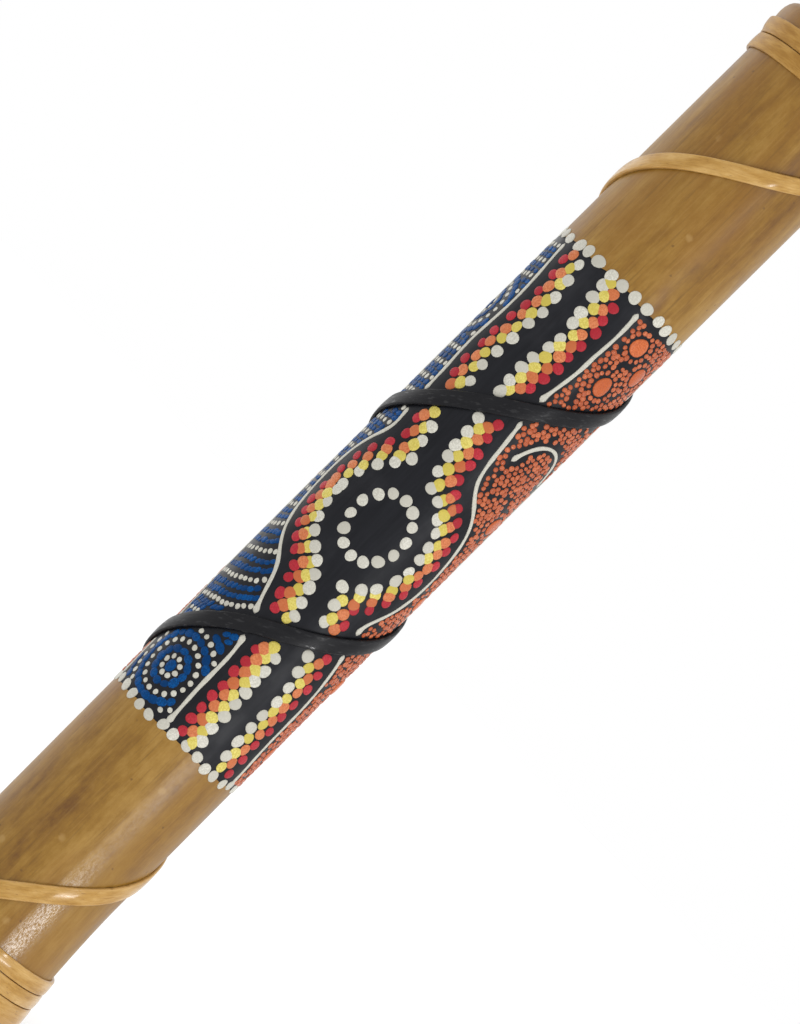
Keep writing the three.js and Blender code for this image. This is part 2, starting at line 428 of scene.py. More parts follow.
def bamboo_skin():
    s = Shader("bamboo_skin")
    x, y, z = s.split(s.position)
    turn = s.math("DIVIDE", s.math("ARCTAN2", x, s.times(y, -1.0)), TAU)
    fibres = s.noise(1300, 3, 0.6, s.stretched((1, 1, 0.035)))
    clouds = s.noise(46, 5, 0.65, s.stretched((1, 1, 0.4)), 0.5)
    mottle = s.noise(330, 5, 0.7, s.stretched((1, 1, 0.45)))
    patch = bare_patch(s, turn, z)

    golden = cane_colour(s, fibres, clouds, mottle)
    golden = s.blend(s.times(patch, 0.25), golden, srgb(150, 112, 50))
    # a paler, speckled band along the patch's left edge: a painted highlight, the varnish's faint gleam
    # painted into the colour
    painted_highlight = s.times(patch, s.remap(turn, 0.07, 0.095, 0.15, 0), s.remap(mottle, 0.4, 0.55, 0.3, 1))
    golden = s.blend(painted_highlight, golden, srgb(176, 142, 90))
    golden = blemished(s, golden, turn, z)

    skin = s.bump(mottle, 0.09, 0.6, s.bump(fibres, 0.04, 0.4))
    gloss = s.remap(clouds, 0.35, 0.65, 0.34, 0.46)
    sparkle = s.noise(2300, 3, 0.7, s.stretched((1, 1, 0.35)))
    glaze = s.times(patch, s.remap(turn, 0.088, 0.115, 1, 0))
    glaze = s.times(glaze, s.remap(z, 36 * MM, 66 * MM, 1, 0.12))
    glaze = s.times(glaze, s.remap(sparkle, 0.44, 0.54, 0.05, 1))
    s.link(glaze, s.surface, "Coat Weight")
    s.link(s.bump(sparkle, 0.05, 0.6), s.surface, "Coat Normal")
    return s.finish(golden, gloss, skin, Specular_IOR_Level=0.4, Coat_Roughness=0.18)


def bamboo_flesh():
    s = Shader("bamboo_flesh")
    pores = s.cells(900, s.stretched((1, 1, 0.05)))
    pale = s.ramp(s.noise(500, 3), (0.35, srgb(182, 148, 96)), (0.65, srgb(204, 174, 122)))
    pale = s.blend(s.remap(pores, 0.12, 0.3, 0.8, 0), pale, srgb(116, 80, 44))
    rough = s.remap(pores, 0.1, 0.4, 0.8, 0.62)
    return s.finish(pale, rough, s.bump(pores, 0.1, 0.6), Specular_IOR_Level=0.2)


def ground_paint():
    s = Shader("ground_paint")
    strokes = s.noise(600, 3, 0.6, s.stretched((1, 1, 0.1)))
    black = s.ramp(strokes, (0.3, srgb(17, 18, 23)), (0.7, srgb(26, 27, 32)))
    # lighter grey smears on the black: painted sheen, glossy reflections painted into the colour
    painted_sheen = s.noise(55, 5, 0.6, s.stretched((1, 1, 0.6)))
    black = s.blend(s.remap(painted_sheen, 0.5, 0.75, 0, 0.3), black, srgb(58, 58, 62))
    gloss = s.remap(s.noise(120, 3), 0.35, 0.65, 0.3, 0.45)
    return s.finish(black, gloss, s.bump(strokes, 0.06, 0.5), Specular_IOR_Level=0.16)


def peel_colour(s, grain, fibres, patches):
    """Golden rattan peel: paler at its edges, with dark flecks."""
    golden = s.ramp(
        s.total((fibres, 0.35), (patches, 0.65)),
        (0.36, srgb(136, 98, 42)),
        (0.46, srgb(164, 126, 62)),
        (0.56, srgb(184, 147, 80)),
        (0.66, srgb(204, 170, 108)),
    )
    _, across, _ = s.split(grain)
    from_middle = s.math("ABSOLUTE", across)
    golden = s.blend(s.remap(from_middle, 0.0021, 0.0028, 0, 0.35), golden, srgb(196, 160, 112))
    flecks = s.remap(s.noise(1, 2, 0.5, s.stretched((420, 1500, 1), grain)), 0.62, 0.72, 0, 0.6)
    return s.blend(flecks, golden, srgb(108, 74, 34))


def darker_tip_peel(s, golden, at_tip, fibres, patches):
    """The peel's colour, darker and scuffed at the upper binding."""
    tip_darkening = s.times(at_tip, s.remap(patches, 0.38, 0.6, 0.9, 0.4))
    golden = s.blend(tip_darkening, golden, srgb(128, 90, 38))
    scuffed = s.times(at_tip, s.remap(fibres, 0.52, 0.64, 0, 0.7))
    golden = s.blend(scuffed, golden, srgb(112, 74, 30))
    return s.blend(0.3, golden, srgb(196, 146, 66))


def within_band(s, z):
    """1 where the strip is painted over with the band, and 0 elsewhere, with a ragged edge."""
    ragged = s.math("ADD", z, s.times(s.noise(400, 2), 2 * MM))
    above = s.remap(ragged, (BAND_LOW + 0.8) * MM, (BAND_LOW + 1.1) * MM)
    below = s.remap(ragged, (BAND_HIGH + 0.8) * MM, (BAND_HIGH + 1.1) * MM, 1, 0)
    return s.times(above, below)


def rattan():
    s = Shader("rattan")
    grain = s.attribute("grain", "Vector")
    fibres = s.noise(1, 4, 0.65, s.stretched((160, 2400, 1), grain))
    patches = s.noise(1, 5, 0.65, s.stretched((90, 330, 1), grain))
    lacquer = s.noise(1, 3, 0.6, s.stretched((300, 900, 1), grain))
    _, _, z = s.split(s.position)
    at_tip = s.remap(z, 0.36, 0.384)
    painted = within_band(s, z)

    golden = peel_colour(s, grain, fibres, patches)
    golden = darker_tip_peel(s, golden, at_tip, fibres, patches)
    black = s.ramp(patches, (0.3, srgb(14, 14, 18)), (0.7, srgb(25, 25, 28)))
    varnish = s.times(s.remap(patches, 0.4, 0.6, 0.3, 0.8), s.remap(at_tip, 0, 1, 1, 0.15))
    varnish = s.blend(painted, varnish, s.remap(lacquer, 0.57, 0.66, 0.03, 0.45))
    s.link(varnish, s.surface, "Coat Weight")

    colour = s.blend(painted, golden, black)
    gloss = s.remap(patches, 0.3, 0.7, 0.3, 0.45)
    relief = s.bump(patches, 0.16, 0.6, s.bump(fibres, 0.08, 0.6))
    return s.finish(colour, gloss, relief, Specular_IOR_Level=0.16, Coat_Roughness=0.14)


def dot_paint(name, dark, light, sheen_level=0.25, smoothest=0.24):
    s = Shader(name)
    colour = s.ramp(s.attribute("tone"), (0.0, dark), (1.0, light))
    grain = s.noise(1900, 3, 0.7)
    colour = s.blend(s.remap(grain, 0.38, 0.6, 0, 0.8), colour, dark)
    gloss = s.remap(s.noise(500, 2), 0.3, 0.7, smoothest, smoothest + 0.12)
    return s.finish(colour, gloss, s.bump(grain, 0.16, 0.9), Specular_IOR_Level=sheen_level)


def plug_wood():
    s = Shader("plug_wood")
    rings = s.add("ShaderNodeTexWave", wave_type="RINGS", rings_direction="Y")
    rings.inputs["Scale"].default_value = 90
    rings.inputs["Distortion"].default_value = 3
    rings.inputs["Detail"].default_value = 2
    s.link(s.stretched((1, 0.15, 1)), rings, "Vector")
    grain = s.noise(900, 3, 0.6, s.stretched((1, 0.06, 1)))
    tone = s.total((rings.outputs["Fac"], 0.4), (grain, 0.6))
    wood = s.ramp(tone, (0.3, srgb(140, 98, 56)), (0.7, srgb(190, 148, 98)))
    return s.finish(wood, s.remap(grain, 0.3, 0.7, 0.5, 0.7), s.bump(tone, 0.08, 0.5))


def peg_bamboo():
    s = Shader("peg_bamboo")
    fibres = s.noise(1400, 3)
    straw = s.ramp(fibres, (0.35, srgb(186, 148, 88)), (0.65, srgb(216, 184, 128)))
    return s.finish(straw, s.remap(fibres, 0.3, 0.7, 0.55, 0.75), s.bump(fibres, 0.06, 0.5))


def brass():
    s = Shader("brass")
    wear = s.noise(1500, 3)
    metal = s.ramp(wear, (0.35, srgb(150, 112, 52)), (0.65, srgb(206, 170, 96)))
    return s.finish(metal, s.remap(wear, 0.3, 0.7, 0.25, 0.5), s.bump(wear, 0.02, 0.5), Metallic=1.0)


def pebble_stone():
    s = Shader("pebble_stone")
    mottle = s.noise(700, 5, 0.65)
    stone = s.ramp(
        mottle,
        (0.35, srgb(104, 96, 86)),
        (0.5, srgb(150, 140, 126)),
        (0.68, srgb(196, 188, 172)),
    )
    return s.finish(stone, s.remap(mottle, 0.3, 0.7, 0.45, 0.7), s.bump(mottle, 0.08, 0.6))


# ==== culm, plugs and what is inside ====

CULM_AROUND = 240
CULM_ROW = 1.6
BORE_ROWS = 60
PLUG_RADIUS = BORE_RADIUS + 0.1
PLUG_THICKNESS = 8
PEG_LENGTH = 23.8
PEG_POINT = 3
PEG_HOLE_RADIUS = PEG_RADIUS + 0.03
PEG_HOLE_ENDS = (-8, 0.6)
PEBBLE_COUNT = 12


def culm_profile():
    """(inset from the outer radius, height) up the outside; the bore is added by build_culm."""
    corner = [(1 - math.sin(math.pi / 2 * i / 6), 1 - math.cos(math.pi / 2 * i / 6)) for i in range(7)]
    foot = [(FOOT_ROUND[0] * inset, FOOT_ROUND[1] * rise) for inset, rise in corner]
    tip = [(TIP_ROUND[0] * inset, LENGTH - TIP_ROUND[1] * rise) for inset, rise in reversed(corner)]
    straight = LENGTH - FOOT_ROUND[1] - TIP_ROUND[1]
    rows = round(straight / CULM_ROW)
    side = [(0, FOOT_ROUND[1] + straight * i / rows) for i in range(1, rows)]
    return foot + side + tip


def build_culm():
    turns = np.arange(CULM_AROUND) / CULM_AROUND
    rings = [wrap(turns, culm_radius(turns, height) - inset, height) for inset, height in culm_profile()]
    outer_rows = len(rings)
    bore_wave = 0.12 * np.sin(3 * TAU * turns)
    for height in np.linspace(LENGTH, 0, BORE_ROWS):
        bore = PLUG_RADIUS + bore_wave * math.sin(math.pi * height / LENGTH)
        rings.append(wrap(turns, bore, height))
    faces = loop_faces(len(rings), CULM_AROUND, close_rows=True)
    culm = add_mesh("bamboo_culm", rings, faces, bamboo_skin(), bamboo_flesh())
    flesh_from = (outer_rows - 1) * CULM_AROUND
    for polygon in culm.data.polygons:
        if polygon.index >= flesh_from:
            polygon.material_index = 1
    drill_peg_holes(culm)
    settle(culm, "body", "bamboo", "culm")


def peg_frame(index):
    turn = index / PEGS_PER_TURN
    height = float(strip_height(turn))
    return outward(turn, float(culm_radius(turn, height)), height)


def drill_peg_holes(culm):
    inner, outer = PEG_HOLE_ENDS
    profile = [(0, inner), (PEG_HOLE_RADIUS, inner), (PEG_HOLE_RADIUS, outer), (0, outer)]
    drills = [lathe("drill", profile, 14, peg_frame(i), None) for i in range(FIRST_PEG, LAST_PEG + 1)]
    first = drills[0]
    with bpy.context.temp_override(active_object=first, selected_editable_objects=drills):
        bpy.ops.object.join()
    cut = culm.modifiers.new("peg_holes", "BOOLEAN")
    cut.operation = "DIFFERENCE"
    cut.solver = "MANIFOLD"
    cut.object = first
    apply_modifiers(culm)
    bpy.data.objects.remove(first)


def build_plugs():
    wood = plug_wood()
    face = [(PLUG_RADIUS * i / 8, 0) for i in range(8)]
    rim = [(PLUG_RADIUS - 0.5, 0), (PLUG_RADIUS - 0.15, 0.15), (PLUG_RADIUS, 0.5)]
    back = [(PLUG_RADIUS, PLUG_THICKNESS - 0.5), (PLUG_RADIUS - 0.5, PLUG_THICKNESS), (0, PLUG_THICKNESS)]
    profile = face + rim + back
    at_foot = Matrix.Identity(4)
    at_tip = Matrix.Translation((0, 0, LENGTH)) @ Matrix.Rotation(math.pi, 4, "X")
    for node, place in (("bottom_plug", at_foot), ("top_plug", at_tip)):
        settle(lathe(f"{node}_disc", profile, 96, place, wood), "body", "plug_wood", node)


def build_pegs():
    straw = peg_bamboo()
    shank = PEG_LENGTH - PEG_POINT - 0.4
    profile = [(0, -PEG_LENGTH), (0.35, 0.35 - PEG_LENGTH), (0.8, 2.2 - PEG_LENGTH)]
    profile += [(0.88 + 0.2 * i / 6, PEG_POINT - PEG_LENGTH + shank * i / 6) for i in range(7)]
    profile += [(0.95, -0.2), (0, -0.15)]
    for number, index in enumerate(range(FIRST_PEG, LAST_PEG + 1), 1):
        place = peg_frame(index) @ Matrix.Rotation(rng.random() * TAU, 4, "Z")
        peg = lathe(f"peg_sliver_{number:02d}", profile, 12, place, straw)
        settle(peg, "body", "peg_bamboo", f"peg_{number:02d}")


def build_pebbles():
    stone = pebble_stone()
    for number in range(1, PEBBLE_COUNT + 1):
        node = f"pebble_{number:02d}"
        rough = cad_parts[node].data.copy()
        pebble = bpy.data.objects.new(f"pebble_stone_{number:02d}", rough)
        show(pebble)
        weld = pebble.modifiers.new("weld", "WELD")
        weld.merge_threshold = 0.01 * MM
        pebble.modifiers.new("round", "SUBSURF").levels = 2
        apply_modifiers(pebble)
        pebble.data.materials.clear()
        pebble.data.materials.append(stone)
        pebble.data.shade_smooth()
        settle(pebble, node, "pebble_stone", node)


# ==== rattan strip and its brads ====

def strip_samples():
    """Turns along the strip, close enough together to follow its curve."""
    per_turn = 100
    count = round((STRIP_LAST_TURN - STRIP_FIRST_TURN) * per_turn)
    return np.linspace(STRIP_FIRST_TURN, STRIP_LAST_TURN, count + 1)


def strip_profile():
    """(across, out of the culm) as fractions: a flat back, rounded edges and a low crown."""
    edge = [(0.97, 0.0)]
    edge += [(0.82 + 0.18 * math.cos(a), 0.5 + 0.4 * math.sin(a)) for a in np.linspace(0, math.pi / 2, 7)]
    crown = [(a, 0.9 + 0.1 * (1 - (a / 0.82) ** 2)) for a in np.linspace(0.82, -0.82, 9)[1:-1]]
    other_edge = [(-across, out) for across, out in reversed(edge)]
    back = [(-0.9, -0.02), (0.0, -0.02), (0.9, -0.02)]
    return edge + crown + other_edge + back


def build_strip():
    turns = strip_samples()
    heights = strip_height(turns)
    slopes = strip_slope(turns)
    steps = np.hypot(np.diff(turns) * TAU * CULM_RADIUS, np.diff(heights))
    along = np.concatenate([[0], np.cumsum(steps)])
    to_end = np.minimum(along, along[-1] - along)
    thin = 1 - 0.35 * np.clip(1 - to_end / 5, 0, 1)
    width = 1 + 0.012 * np.sin(along / 23) + 0.01 * np.sin(along / 9.1 + 1)
    crown = strip_crown(turns) * thin * (1 + 0.04 * np.sin(along / 31 + 2) - 0.04)
    rings = []
    grain = []
    for across, out in strip_profile():
        reach = strip_lower_reach(turns) if across < 0 else strip_width(turns) / 2
        offset = across * width * reach
        side_turn = turns - offset * np.sin(slopes) / (TAU * CULM_RADIUS)
        height = heights + offset * np.cos(slopes)
        radius = culm_radius(side_turn, height) + 0.03 + out * crown
        rings.append(wrap(side_turn, radius, height))
        grain.append(np.stack([along, offset, np.zeros_like(along)], axis=-1) * MM)
    points = np.stack(rings, axis=1)
    strip = add_mesh("rattan_winding", points, tube_faces(len(turns), len(rings)), rattan())
    set_point_values(strip, "grain", "FLOAT_VECTOR", np.stack(grain, axis=1))
    settle(strip, "body", "rattan", "rattan_strip")


def build_brads():
    metal = brass()
    head = [(1.3, 0.02), (1.28, 0.14), (1.1, 0.32), (0.8, 0.44), (0.4, 0.5), (0, 0.52)]
    profile = [(0, -5.4), (0.1, -5.3), (0.5, -4.0), (0.5, 0), *head]
    first_turn = STRIP_FIRST_TURN + BRAD_INSET_TURNS
    last_turn = STRIP_LAST_TURN - BRAD_INSET_TURNS
    for node, turn in (("lower_brad", first_turn), ("upper_brad", last_turn)):
        height = float(strip_height(turn))
        seat = float(culm_radius(turn, height)) + float(strip_crown(turn)) - 0.15
        pin = lathe(f"{node}_pin", profile, 24, outward(turn, seat, height), metal)
        settle(pin, "body", "brass", node)


# ==== the painted band ====

HEIGHTS = np.linspace(BAND_LOW, BAND_HIGH, 700)

# the black channel's middle as (height, girth), and its half width
CHANNEL = (
    (297, -11.4), (286, -8.3), (275, -7.4), (252, -9.7), (225, -6.5), (207, -1.5),
    (172, -0.8), (161, 3), (142, 10.8), (120, 11.8), (101, 12.8),
)
CHANNEL_HALF = 5.0
RING_CENTRE = (-0.5, 192)
RING_SPREAD = (9.8, 11.9)
RING_COUNT = 14
BIG_DOT = 4.0
SWELL_SPREAD = (18.3, 21)

# each border row's height, dot size, count of dots and sway
BORDERS = ((BAND_LOW + 0.8, 3.9, 32, 0.7), (BAND_HIGH + 0.1, 4.3, 30, 0))
RIBBON_STEP = 2.2
RIBBON_SIZES = (4.15, 4.05, 4.0, 3.6)
RIBBON_ENDS = (BAND_LOW + 3.6, BAND_HIGH - 1.7)
RIBBON_PITCHES = {(-1, "low"): 4.8, (-1, "high"): 6.1, (1, "low"): 5.8, (1, "high"): 5.1}
LINE_OFFSET = 11.7
LINE_WIDTH = 1.45
LINE_STEP = 0.8
LINE_LIFT = 0.26
LINE_FEWEST_POINTS = 5
DIVIDER_SHAPE = ((298, -41), (190, -41), (150, -38), (101, -33.5))
ARCH_FEET = (14.5, 35.5)
ARCH_FOOT_HEIGHT = 235.5
ARCH_RISE = 11.5
ARCH_CLEARANCE = 2.3

# rings of a motif as (radius, paint, count), and motifs as (girth, height, count of rings)
MOTIF_RINGS = (
    (3.3, "cream", 8),
    (6.0, "blue", 12),
    (9.3, "cream", 19),
    (11.8, "blue", 24),
    (14.3, "cream", 29),
    (16.7, "blue", 34),
)
MOTIFS = ((-16.8, 116.8, 6), (-38, 266, 4))
MOTIF_CLEARANCE = 1.9
FIELD_ROW_STEP = 2.1
FIELD_WIDTH = 40
DROOP_LENGTH = 11

EGGS = (
    (18.2, 288), (28.5, 281.5), (19, 271.5), (33, 263),
    (32.5, 217.5), (36, 184), (38, 148), (37, 118),
)
EGG_SIZE = 6.4
EGG_RIM_RADIUS = 4.95
EGG_RIM_COUNT = 15
EGG_RIM_CLEARANCE = 4.4
EGG_CLEARANCE = 6.2
STIPPLE_STEP = 1.98
STIPPLE_ROWS = 130
STIPPLE_COLUMNS = 46
STIPPLE_START = -12


def smoothed(values, spread):
    """A curve over HEIGHTS, eased by averaging over a spread in mm."""
    step = HEIGHTS[1] - HEIGHTS[0]
    reach = round(3 * spread / step)
    weights = np.exp(-0.5 * (np.arange(-reach, reach + 1) * step / spread) ** 2)
    return np.convolve(np.pad(values, reach, mode="edge"), weights / weights.sum(), mode="valid")


def through(places, spread):
    """A smooth curve over HEIGHTS through places given as (height, girth), from the top down."""
    heights, girths = zip(*reversed(places))
    return smoothed(np.interp(HEIGHTS, heights, girths), spread)


def wobble(size, seed):
    return size * (np.sin(HEIGHTS / 9.7 + seed) + 0.6 * np.sin(HEIGHTS / 4.3 + 2.1 * seed))


def channel_half():
    """Half the channel's width: narrow, but swelling into a round field about the ring."""
    width, height = SWELL_SPREAD
    swell = width ** 2 * np.maximum(0, 1 - ((HEIGHTS - RING_CENTRE[1]) / height) ** 2)
    return (CHANNEL_HALF ** 4 + swell ** 2) ** 0.25


CHANNEL_CENTRE = through(CHANNEL, 4)
CHANNEL_REACH = channel_half()


def channel_side(side, distance):
    """Girth of the curve that keeps a distance outside one side of the channel, at each of HEIGHTS."""
    edge = side * CHANNEL_CENTRE + CHANNEL_REACH
    apart = distance ** 2 - (HEIGHTS[:, None] - HEIGHTS[None, :]) ** 2
    reach = np.where(apart >= 0, np.sqrt(np.maximum(apart, 0)), -1e6)
    return side * (edge[None, :] + reach).max(axis=1)


LEFT_LINE = smoothed(channel_side(-1, LINE_OFFSET), 3) + wobble(0.3, 1)
RIGHT_LINE = smoothed(channel_side(1, LINE_OFFSET), 3) + wobble(0.3, 4)
RIGHT_LINE += np.interp(HEIGHTS, (276, 296), (0, 2.8))
DIVIDER = through(DIVIDER_SHAPE, 8) + wobble(0.8, 7)


def at_height(curve, height):
    return float(np.interp(height, HEIGHTS, curve))


def strip_clearance(girth, height):
    """How far a place in the band is from the middle of the strip, measured on the surface."""
    turn = girth / GIRTH
    near = []
    for lap in range(-2, 4):
        there = turn - math.floor(turn) + lap
        near.append(abs(height - float(strip_height(there))) * math.cos(float(strip_slope(there))))
    return min(near)


def place_along(places, pitch, phase):
    """Places at equal steps along a polyline of the band, as (girth, height, angle)."""
    steps = np.hypot(*np.diff(places, axis=0).T)
    length = np.concatenate([[0], np.cumsum(steps)])
    for distance in np.arange(phase * pitch, length[-1], pitch):
        girth, height = (float(np.interp(distance, length, places[:, axis])) for axis in (0, 1))
        ahead = [float(np.interp(distance + 0.5, length, places[:, axis])) for axis in (0, 1)]
        yield girth, height, math.atan2(ahead[1] - height, ahead[0] - girth)


def upright(curve):
    """A curve over HEIGHTS as a polyline of (girth, height)."""
    return np.column_stack([curve, HEIGHTS])


def arch():
    """The short bowed line in the stippled field."""
    part = np.linspace(0, 1, 40)
    girth = ARCH_FEET[0] + (ARCH_FEET[1] - ARCH_FEET[0]) * (part - 0.05 * np.sin(TAU * part))
    return np.column_stack([girth, ARCH_FOOT_HEIGHT + ARCH_RISE * np.sin(math.pi * part) ** 0.8])


ARCH = arch()


class Dots:
    """Raised dots of one paint, gathered flat and then built as one mesh."""

    def __init__(self, name, paint, sides, rings, lift=0.06):
        self.name = name
        self.paint = paint
        self.sides = sides
        self.rings = rings
        self.lift = lift
        self.dots = []

    def add(self, girth, height, size, stretch=1.0, angle=0.0):
        """Adds a dot, unless the strip is in its way."""
        if strip_clearance(girth, height) < STRIP_WIDTH / 2 + 0.36 * size:
            return
        size *= rng.uniform(0.92, 1.08)
        stretch *= rng.uniform(0.95, 1.05)
        angle += rng.uniform(-0.2, 0.2)
        self.dots.append((girth, height, size, stretch, angle))

    def dot_points(self, girth, height, size, stretch, angle):
        """Rings of points from the rim of a dot up to its top."""
        around = np.arange(self.sides) * TAU / self.sides
        blot = 1 + 0.05 * np.cos(2 * around + rng.random() * TAU)
        blot += 0.03 * np.cos(3 * around + rng.random() * TAU)
        lift = (self.lift + 0.055 * size) * rng.uniform(0.8, 1.25)
        rows = []
        for reach, rise in (*self.rings, (0, 1)):
            along = blot * reach * size / 2 * stretch * np.cos(around)
            across = blot * reach * size / 2 / stretch * np.sin(around)
            if reach == 0:
                along, across = along[:1], across[:1]
            x = girth + along * math.cos(angle) - across * math.sin(angle)
            z = height + along * math.sin(angle) + across * math.cos(angle)
            rows.append(wrap(x / GIRTH, culm_radius(x / GIRTH, z) + COAT + lift * rise, z))
        return rows

    def dot_faces(self, start):
        """The closed skin of one dot whose points begin at start."""
        rim = range(self.sides)
        faces = [tuple(start + i for i in reversed(rim))]
        for row in range(len(self.rings) - 1):
            low = start + row * self.sides
            for i in rim:
                j = (i + 1) % self.sides
                faces.append((low + i, low + j, low + self.sides + j, low + self.sides + i))
        last = start + (len(self.rings) - 1) * self.sides
        for i in rim:
            faces.append((last + i, last + (i + 1) % self.sides, last + self.sides))
        return faces

    def build(self):
        rows = []
        faces = []
        tones = []
        for dot in self.dots:
            faces += self.dot_faces(len(tones))
            rows += self.dot_points(*dot)
            tones += [rng.random()] * (len(self.rings) * self.sides + 1)
        piece = add_mesh(self.name, np.concatenate(rows), faces, self.paint)
        set_point_values(piece, "tone", "FLOAT", tones)
        settle(piece, "body", "dot_paint")


BIG_RINGS = ((1.0, -0.3), (0.98, 0.3), (0.87, 0.68), (0.6, 0.92))
SMALL_RINGS = ((1.0, -0.4), (0.95, 0.4), (0.66, 0.84))


def paint_borders(cream):
    for middle, size, count, sway in BORDERS:
        for i in range(count):
            girth = GIRTH * i / count + rng.uniform(-0.6, 0.6)
            height = middle + sway * math.cos(5 * TAU * i / count - 0.5)
            cream.add(girth, height + rng.uniform(-0.4, 0.4), size, 1.05, rng.random() * TAU)


def paint_ribbons(paints, shift):
    """Four touching rows of dots on each side of the channel, from cream inside to red outside."""
    for (side, part), pitch in RIBBON_PITCHES.items():
        within = HEIGHTS < RING_CENTRE[1] if part == "low" else HEIGHTS >= RING_CENTRE[1]
        for row, (paint, size) in enumerate(zip(paints, RIBBON_SIZES)):
            curve = upright(channel_side(side, RIBBON_STEP * row))[within]
            for girth, height, _ in place_along(curve, pitch, 0.3 + 0.5 * (row % 2)):
                if RIBBON_ENDS[0] < height < RIBBON_ENDS[1]:
                    height += rng.uniform(-0.6, 0.6)
                    paint.add(shift + girth + rng.uniform(-0.45, 0.45), height, size)


def paint_ring(cream, shift):
    for i in range(RING_COUNT):
        angle = TAU * (i + 0.5) / RING_COUNT
        girth = RING_CENTRE[0] + RING_SPREAD[0] * math.cos(angle) + rng.uniform(-0.25, 0.25)
        cream.add(shift + girth, RING_CENTRE[1] + RING_SPREAD[1] * math.sin(angle), BIG_DOT)


def in_blue_field(girth, height):
    """Whether a place is in the blue field, clear of its lines and of the border rows."""
    if not BAND_LOW + 3.2 < height < BAND_HIGH - 3:
        return False
    return at_height(DIVIDER, height) + 1.8 < girth < at_height(LEFT_LINE, height) - 1.7


def paint_motif(cream, blue, big_blue, shift, middle, rings):
    """Rings of small cream dots and blue dashes by turns about a blue dot."""
    if in_blue_field(*middle):
        big_blue.add(shift + middle[0], middle[1], BIG_DOT)
    for radius, colour, count in rings:
        start = rng.random() * TAU
        for i in range(count):
            angle = start + TAU * i / count
            girth = middle[0] + radius * math.cos(angle)
            height = middle[1] + radius * math.sin(angle)
            if in_blue_field(girth, height):
                if colour == "cream":
                    cream.add(shift + girth, height, 1.95)
                else:
                    blue.add(shift + girth, height, rng.uniform(3.0, 3.6), 1.15, angle + math.pi / 2)


def near_motif(girth, height):
    for middle_girth, middle_height, count in MOTIFS:
        reach = MOTIF_RINGS[count - 1][0] + MOTIF_CLEARANCE
        if math.dist((girth, height), (middle_girth, middle_height)) < reach:
            return True
    return False


def row_droop(start):
    """How far a row of the blue field droops: most beside the foot of the round field."""
    return 1.2 + 9 * math.exp(-((start - 152) / 20) ** 2)


def paint_blue_field(cream, blue, big_blue, shift):
    """Motifs of rings, and between them drooping rows: one of cream dots, then two of blue dashes."""
    for girth, height, count in MOTIFS:
        paint_motif(cream, blue, big_blue, shift, (girth, height), MOTIF_RINGS[:count])
    start = BAND_LOW
    row = 0
    while start < BAND_HIGH + 12:
        droop = row_droop(start)
        slope = droop / DROOP_LENGTH
        pitch = 3.05 if row % 3 == 0 else 2.9
        run = rng.uniform(1.7, 3.0)
        while run < FIELD_WIDTH:
            height = start - droop * (1 - math.exp(-run / DROOP_LENGTH)) + rng.uniform(-0.25, 0.25)
            girth = at_height(LEFT_LINE, height) - run
            run += pitch * rng.uniform(0.85, 1.15) / math.hypot(1, slope)
            if not in_blue_field(girth, height) or near_motif(girth, height):
                continue
            if row % 3 == 0:
                cream.add(shift + girth, height, 1.9)
            else:
                blue.add(shift + girth, height, rng.uniform(2.2, 2.7), rng.uniform(1.1, 1.35), slope)
        start += FIELD_ROW_STEP * math.hypot(1, slope)
        row += 1


def in_orange_field(girth, height):
    """Whether a place is in the orange field, clear of its lines and of the border rows."""
    if not BAND_LOW + 3 < height < BAND_HIGH - 2.6:
        return False
    return at_height(RIGHT_LINE, height) + 1.5 < girth < at_height(DIVIDER, height) + GIRTH / 2 - 1.4


def vein(girth, height):
    """Near zero along the winding black gaps of the stippled field."""
    lean = math.sin(height / 9 + 1.5 * math.sin(girth / 7))
    return math.sin(girth / 3.4 + 1.6 * lean) + 0.4 * lean


def paint_eggs(stipple, eggs, shift):
    """Larger ovals, each in a ring of small dots."""
    for girth, height in EGGS:
        eggs.add(shift + girth, height, EGG_SIZE, 1.03, 1.2)
        for i in range(EGG_RIM_COUNT):
            angle = TAU * i / EGG_RIM_COUNT + rng.uniform(-0.05, 0.05)
            place = (girth + EGG_RIM_RADIUS * math.cos(angle), height + EGG_RIM_RADIUS * math.sin(angle))
            if in_orange_field(*place) and all(math.dist(place, egg) > EGG_RIM_CLEARANCE for egg in EGGS):
                stipple.add(shift + place[0], place[1], rng.uniform(1.7, 2.1))


def paint_orange_field(stipple, eggs, shift):
    """Close small dots, parted by winding gaps, round the ovals and the bowed line."""
    paint_eggs(stipple, eggs, shift)
    row_height = 0.866 * STIPPLE_STEP
    for row in range(STIPPLE_ROWS):
        for column in range(STIPPLE_COLUMNS):
            girth = STIPPLE_STEP * (column + 0.5 * (row % 2)) + STIPPLE_START + rng.uniform(-0.34, 0.34)
            height = BAND_LOW + row_height * row + rng.uniform(-0.34, 0.34)
            if not in_orange_field(girth, height) or abs(vein(girth, height)) < 0.08:
                continue
            if np.hypot(*(ARCH - (girth, height)).T).min() < ARCH_CLEARANCE:
                continue
            if min(math.dist((girth, height), egg) for egg in EGGS) > EGG_CLEARANCE:
                stipple.add(shift + girth, height, rng.uniform(1.6, 2.15))


def line_stretches(places, shift):
    """The parts of a polyline that the strip leaves free, each a list of (girth, height)."""
    stretch = []
    for girth, height, _ in place_along(places, LINE_STEP, 0):
        free = strip_clearance(shift + girth, height) > STRIP_WIDTH / 2 + 0.5
        if free and BAND_LOW + 2 < height < BAND_HIGH - 2:
            stretch.append((shift + girth, height))
            continue
        if len(stretch) >= LINE_FEWEST_POINTS:
            yield np.array(stretch)
        stretch = []
    if len(stretch) >= LINE_FEWEST_POINTS:
        yield np.array(stretch)


